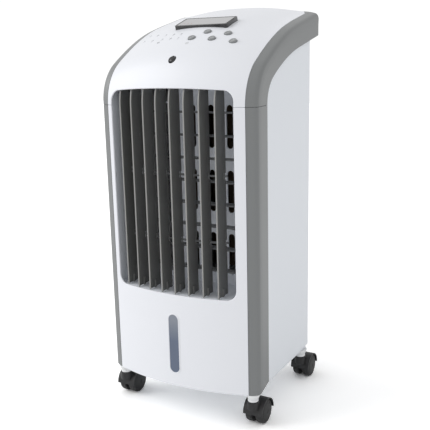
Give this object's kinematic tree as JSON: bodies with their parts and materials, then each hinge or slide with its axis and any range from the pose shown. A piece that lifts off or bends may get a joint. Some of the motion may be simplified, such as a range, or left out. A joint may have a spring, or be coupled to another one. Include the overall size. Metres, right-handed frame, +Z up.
{
  "type": "evaporative cooler",
  "caption": "Floor-standing evaporative air cooler with swinging louvres, a slide-out water tank, a curved control top and twin-wheel casters.",
  "frame": {"origin": "on the floor below the middle of the body", "axes": "+Z up, the air outlet faces -Y, +X is the viewer's right from the front"},
  "size_m": [0.2546, 0.2473, 0.6],
  "materials": {
    "white_shell": "smooth moulded",
    "grey_trim": "satin moulded",
    "dark_louvre": "satin moulded",
    "duct_grey": "satin moulded",
    "black_plastic": "fine grain",
    "key_grey": "satin moulded",
    "smoked_lens": "mirror gloss",
    "clear_window": "clear moulded",
    "tank_plastic": "translucent",
    "motor_steel": "brushed",
    "pad_fibre": "honeycomb fibre",
    "filter_mesh": "fine mesh",
    "board_green": "lacquered",
    "hose_clear": "soft"
  },
  "bodies": {
    "housing": {"front_panel": "white_shell", "top_cover": "white_shell", "left_trim_lower": "grey_trim", "right_trim_lower": "grey_trim", "left_trim_upper": "grey_trim", "right_trim_upper": "grey_trim", "left_side_panel": "white_shell", "right_side_panel": "white_shell", "rear_panel": "white_shell", "base_chassis": "white_shell", "display_bezel": "black_plastic", "display_lens": "smoked_lens", "ir_receiver_lens": "black_plastic", "level_window": "clear_window", "outlet_duct": "duct_grey", "fan_motor": "motor_steel", "swing_motor": "motor_steel", "water_pump": "black_plastic", "water_riser_tube": "hose_clear", "drip_tray": "tank_plastic", "cooling_pad": "pad_fibre", "control_board": "board_green", "mains_gland": "black_plastic", "caster_sockets": "white_shell"},
    "fan": {"fan_rotor": "black_plastic"},
    "tank": {"water_tank": "tank_plastic"},
    "latch": {"tank_latch": "grey_trim"},
    "filter": {"rear_filter_frame": "white_shell", "dust_filter": "filter_mesh"},
    "louvre_links": {"louvre_link_rods": "dark_louvre"},
    "vane_bar": {"vane_link": "dark_louvre"},
    "louvre_1": {"louvre_blade_1": "dark_louvre"},
    "louvre_2": {"louvre_blade_2": "dark_louvre"},
    "louvre_3": {"louvre_blade_3": "dark_louvre"},
    "louvre_4": {"louvre_blade_4": "dark_louvre"},
    "louvre_5": {"louvre_blade_5": "dark_louvre"},
    "louvre_6": {"louvre_blade_6": "dark_louvre"},
    "louvre_7": {"louvre_blade_7": "dark_louvre"},
    "louvre_8": {"louvre_blade_8": "dark_louvre"},
    "vane_body_1": {"vane_1": "dark_louvre"},
    "vane_body_2": {"vane_2": "dark_louvre"},
    "vane_body_3": {"vane_3": "dark_louvre"},
    "vane_body_4": {"vane_4": "dark_louvre"},
    "vane_body_5": {"vane_5": "dark_louvre"},
    "vane_body_6": {"vane_6": "dark_louvre"},
    "vane_body_7": {"vane_7": "dark_louvre"},
    "vane_body_8": {"vane_8": "dark_louvre"},
    "caster_front_left": {"caster_front_left_fork": "black_plastic"},
    "caster_front_left_pair": {"caster_front_left_wheels": "black_plastic"},
    "caster_front_right": {"caster_front_right_fork": "black_plastic"},
    "caster_front_right_pair": {"caster_front_right_wheels": "black_plastic"},
    "caster_rear_left": {"caster_rear_left_fork": "black_plastic"},
    "caster_rear_left_pair": {"caster_rear_left_wheels": "black_plastic"},
    "caster_rear_right": {"caster_rear_right_fork": "black_plastic"},
    "caster_rear_right_pair": {"caster_rear_right_wheels": "black_plastic"},
    "key_1": {"button_1": "key_grey"},
    "key_2": {"button_2": "key_grey"},
    "key_3": {"button_3": "key_grey"},
    "key_4": {"button_4": "key_grey"},
    "key_5": {"button_5": "key_grey"}
  },
  "joints": [
    {"name": "fan_spin", "type": "hinge", "parent": "housing", "child": "fan", "pos_m": [-0.028, -0.0083, 0.2], "axis": [0, 0, 1], "continuous": true},
    {"name": "louvre_1_swing", "type": "hinge", "parent": "housing", "child": "louvre_1", "pos_m": [-0.088, -0.09287, 0.192], "axis": [0, 0, 1], "range_deg": [-30, 30]},
    {"name": "louvre_2_swing", "type": "hinge", "parent": "housing", "child": "louvre_2", "pos_m": [-0.0656, -0.09809, 0.192], "axis": [0, 0, 1], "range_deg": [-30, 30]},
    {"name": "louvre_3_swing", "type": "hinge", "parent": "housing", "child": "louvre_3", "pos_m": [-0.0432, -0.10173, 0.192], "axis": [0, 0, 1], "range_deg": [-30, 30]},
    {"name": "louvre_4_swing", "type": "hinge", "parent": "housing", "child": "louvre_4", "pos_m": [-0.0208, -0.10386, 0.192], "axis": [0, 0, 1], "range_deg": [-30, 30]},
    {"name": "louvre_5_swing", "type": "hinge", "parent": "housing", "child": "louvre_5", "pos_m": [0.0016, -0.1045, 0.192], "axis": [0, 0, 1], "range_deg": [-30, 30]},
    {"name": "louvre_6_swing", "type": "hinge", "parent": "housing", "child": "louvre_6", "pos_m": [0.024, -0.10365, 0.192], "axis": [0, 0, 1], "range_deg": [-30, 30]},
    {"name": "louvre_7_swing", "type": "hinge", "parent": "housing", "child": "louvre_7", "pos_m": [0.0464, -0.10131, 0.192], "axis": [0, 0, 1], "range_deg": [-30, 30]},
    {"name": "louvre_8_swing", "type": "hinge", "parent": "housing", "child": "louvre_8", "pos_m": [0.0688, -0.09744, 0.192], "axis": [0, 0, 1], "range_deg": [-30, 30]},
    {"name": "louvre_links_level", "type": "hinge", "parent": "louvre_1", "child": "louvre_links", "pos_m": [-0.088, -0.08187, 0.268], "axis": [0, 0, 1], "range_deg": [-30, 30]},
    {"name": "vane_1_tilt", "type": "hinge", "parent": "housing", "child": "vane_body_1", "pos_m": [0, -0.0643, 0.22], "axis": [1, 0, 0], "range_deg": [-30, 30]},
    {"name": "vane_2_tilt", "type": "hinge", "parent": "housing", "child": "vane_body_2", "pos_m": [0, -0.0643, 0.25258], "axis": [1, 0, 0], "range_deg": [-30, 30]},
    {"name": "vane_3_tilt", "type": "hinge", "parent": "housing", "child": "vane_body_3", "pos_m": [0, -0.0643, 0.28515], "axis": [1, 0, 0], "range_deg": [-30, 30]},
    {"name": "vane_4_tilt", "type": "hinge", "parent": "housing", "child": "vane_body_4", "pos_m": [0, -0.0643, 0.31773], "axis": [1, 0, 0], "range_deg": [-30, 30]},
    {"name": "vane_5_tilt", "type": "hinge", "parent": "housing", "child": "vane_body_5", "pos_m": [0, -0.0643, 0.35031], "axis": [1, 0, 0], "range_deg": [-30, 30]},
    {"name": "vane_6_tilt", "type": "hinge", "parent": "housing", "child": "vane_body_6", "pos_m": [0, -0.0643, 0.38288], "axis": [1, 0, 0], "range_deg": [-30, 30]},
    {"name": "vane_7_tilt", "type": "hinge", "parent": "housing", "child": "vane_body_7", "pos_m": [0, -0.0643, 0.41546], "axis": [1, 0, 0], "range_deg": [-30, 30]},
    {"name": "vane_8_tilt", "type": "hinge", "parent": "housing", "child": "vane_body_8", "pos_m": [0, -0.0643, 0.44804], "axis": [1, 0, 0], "range_deg": [-30, 30]},
    {"name": "vane_bar_upright", "type": "hinge", "parent": "vane_body_1", "child": "vane_bar", "pos_m": [0.09, -0.0588, 0.22], "axis": [1, 0, 0], "range_deg": [-30, 30]},
    {"name": "caster_front_left_swivel", "type": "hinge", "parent": "housing", "child": "caster_front_left", "pos_m": [-0.112, -0.0923, 0.04], "axis": [0, 0, 1], "continuous": true},
    {"name": "caster_front_left_roll", "type": "hinge", "parent": "caster_front_left", "child": "caster_front_left_pair", "pos_m": [-0.112, -0.0753, 0.018], "axis": [1, 0, 0], "continuous": true},
    {"name": "caster_front_right_swivel", "type": "hinge", "parent": "housing", "child": "caster_front_right", "pos_m": [0.112, -0.0923, 0.04], "axis": [0, 0, 1], "continuous": true},
    {"name": "caster_front_right_roll", "type": "hinge", "parent": "caster_front_right", "child": "caster_front_right_pair", "pos_m": [0.112, -0.0753, 0.018], "axis": [1, 0, 0], "continuous": true},
    {"name": "caster_rear_left_swivel", "type": "hinge", "parent": "housing", "child": "caster_rear_left", "pos_m": [-0.112, 0.0835, 0.04], "axis": [0, 0, 1], "continuous": true},
    {"name": "caster_rear_left_roll", "type": "hinge", "parent": "caster_rear_left", "child": "caster_rear_left_pair", "pos_m": [-0.112, 0.1005, 0.018], "axis": [1, 0, 0], "continuous": true},
    {"name": "caster_rear_right_swivel", "type": "hinge", "parent": "housing", "child": "caster_rear_right", "pos_m": [0.112, 0.0835, 0.04], "axis": [0, 0, 1], "continuous": true},
    {"name": "caster_rear_right_roll", "type": "hinge", "parent": "caster_rear_right", "child": "caster_rear_right_pair", "pos_m": [0.112, 0.1005, 0.018], "axis": [1, 0, 0], "continuous": true},
    {"name": "button_1_press", "type": "slide", "parent": "housing", "child": "key_1", "axis": [0, 0.4633, -0.8862], "range_m": [0, 0.0012], "stiffness_N_per_m": 300, "springref_m": -0.0005},
    {"name": "button_2_press", "type": "slide", "parent": "housing", "child": "key_2", "axis": [0, 0.4131, -0.9107], "range_m": [0, 0.0012], "stiffness_N_per_m": 300, "springref_m": -0.0005},
    {"name": "button_3_press", "type": "slide", "parent": "housing", "child": "key_3", "axis": [0, 0.4633, -0.8862], "range_m": [0, 0.0012], "stiffness_N_per_m": 300, "springref_m": -0.0005},
    {"name": "button_4_press", "type": "slide", "parent": "housing", "child": "key_4", "axis": [0, 0.4131, -0.9107], "range_m": [0, 0.0012], "stiffness_N_per_m": 300, "springref_m": -0.0005},
    {"name": "button_5_press", "type": "slide", "parent": "housing", "child": "key_5", "axis": [0, 0.4633, -0.8862], "range_m": [0, 0.0012], "stiffness_N_per_m": 300, "springref_m": -0.0005},
    {"name": "tank_slide", "type": "slide", "parent": "housing", "child": "tank", "axis": [0, 1, 0], "range_m": [0, 0.12]},
    {"name": "latch_turn", "type": "hinge", "parent": "housing", "child": "latch", "pos_m": [-0.06, 0.1023, 0.183], "axis": [0, 1, 0], "range_deg": [0, 90]},
    {"name": "filter_slide", "type": "slide", "parent": "housing", "child": "filter", "axis": [0, 1, 0], "range_m": [0, 0.06]}
  ],
  "couplings": [
    {"joint": "louvre_2_swing", "follows": "louvre_1_swing", "ratio": 1},
    {"joint": "louvre_3_swing", "follows": "louvre_1_swing", "ratio": 1},
    {"joint": "louvre_4_swing", "follows": "louvre_1_swing", "ratio": 1},
    {"joint": "louvre_5_swing", "follows": "louvre_1_swing", "ratio": 1},
    {"joint": "louvre_6_swing", "follows": "louvre_1_swing", "ratio": 1},
    {"joint": "louvre_7_swing", "follows": "louvre_1_swing", "ratio": 1},
    {"joint": "louvre_8_swing", "follows": "louvre_1_swing", "ratio": 1},
    {"joint": "louvre_links_level", "follows": "louvre_1_swing", "ratio": -1},
    {"joint": "vane_2_tilt", "follows": "vane_1_tilt", "ratio": 1},
    {"joint": "vane_3_tilt", "follows": "vane_1_tilt", "ratio": 1},
    {"joint": "vane_4_tilt", "follows": "vane_1_tilt", "ratio": 1},
    {"joint": "vane_5_tilt", "follows": "vane_1_tilt", "ratio": 1},
    {"joint": "vane_6_tilt", "follows": "vane_1_tilt", "ratio": 1},
    {"joint": "vane_7_tilt", "follows": "vane_1_tilt", "ratio": 1},
    {"joint": "vane_8_tilt", "follows": "vane_1_tilt", "ratio": 1},
    {"joint": "vane_bar_upright", "follows": "vane_1_tilt", "ratio": -1}
  ]
}
